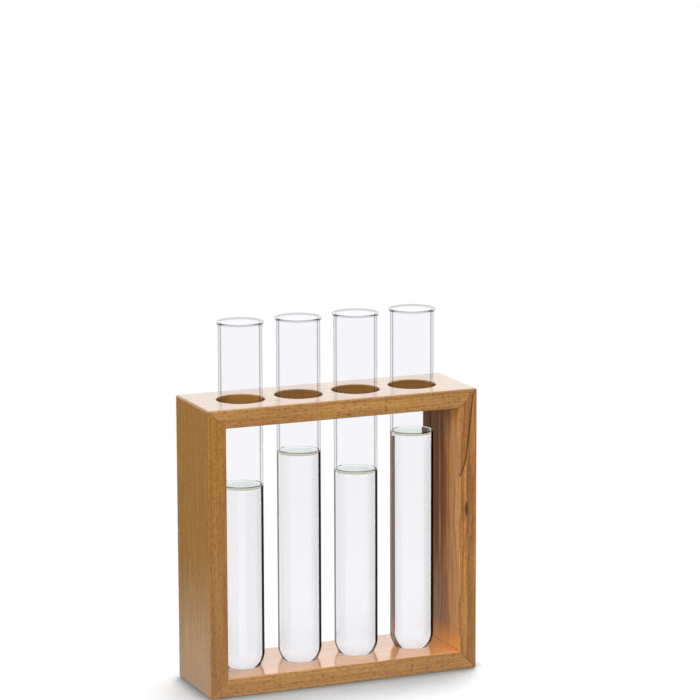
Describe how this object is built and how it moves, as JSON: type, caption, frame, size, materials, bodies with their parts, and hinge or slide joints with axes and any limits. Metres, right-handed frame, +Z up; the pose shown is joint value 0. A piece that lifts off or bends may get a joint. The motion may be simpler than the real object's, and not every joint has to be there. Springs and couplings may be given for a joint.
{
  "type": "test tube vase",
  "caption": "Test tube vase: an open frame of mitred beech boards that holds round-bottomed glass tubes upright in a row, each standing in a recess and lifting out through the top.",
  "frame": {"origin": "on the table under the middle of the frame", "axes": "+X along the row of tubes, to the right as seen from the front; +Y to the back; +Z up"},
  "size_m": [0.161, 0.051, 0.2057],
  "materials": {
    "beech": "satin clear varnish over steamed beech",
    "dowel_beech": "bare turned beech",
    "clear_glass": "clear, fire-polished"
  },
  "bodies": {
    "frame": {"top_board": "beech", "bottom_board": "beech", "left_board": "beech", "right_board": "beech", "dowel_top_left_front": "dowel_beech", "dowel_top_left_back": "dowel_beech", "dowel_top_right_front": "dowel_beech", "dowel_top_right_back": "dowel_beech", "dowel_bottom_left_front": "dowel_beech", "dowel_bottom_left_back": "dowel_beech", "dowel_bottom_right_front": "dowel_beech", "dowel_bottom_right_back": "dowel_beech"},
    "tube_1": {"test_tube_1": "clear_glass"},
    "tube_2": {"test_tube_2": "clear_glass"},
    "tube_3": {"test_tube_3": "clear_glass"},
    "tube_4": {"test_tube_4": "clear_glass"}
  },
  "joints": [
    {"name": "tube_1_lift", "type": "slide", "parent": "frame", "child": "tube_1", "axis": [0, 0, 1], "range_m": [0, 0.16]},
    {"name": "tube_2_lift", "type": "slide", "parent": "frame", "child": "tube_2", "axis": [0, 0, 1], "range_m": [0, 0.16]},
    {"name": "tube_3_lift", "type": "slide", "parent": "frame", "child": "tube_3", "axis": [0, 0, 1], "range_m": [0, 0.16]},
    {"name": "tube_4_lift", "type": "slide", "parent": "frame", "child": "tube_4", "axis": [0, 0, 1], "range_m": [0, 0.16]}
  ]
}
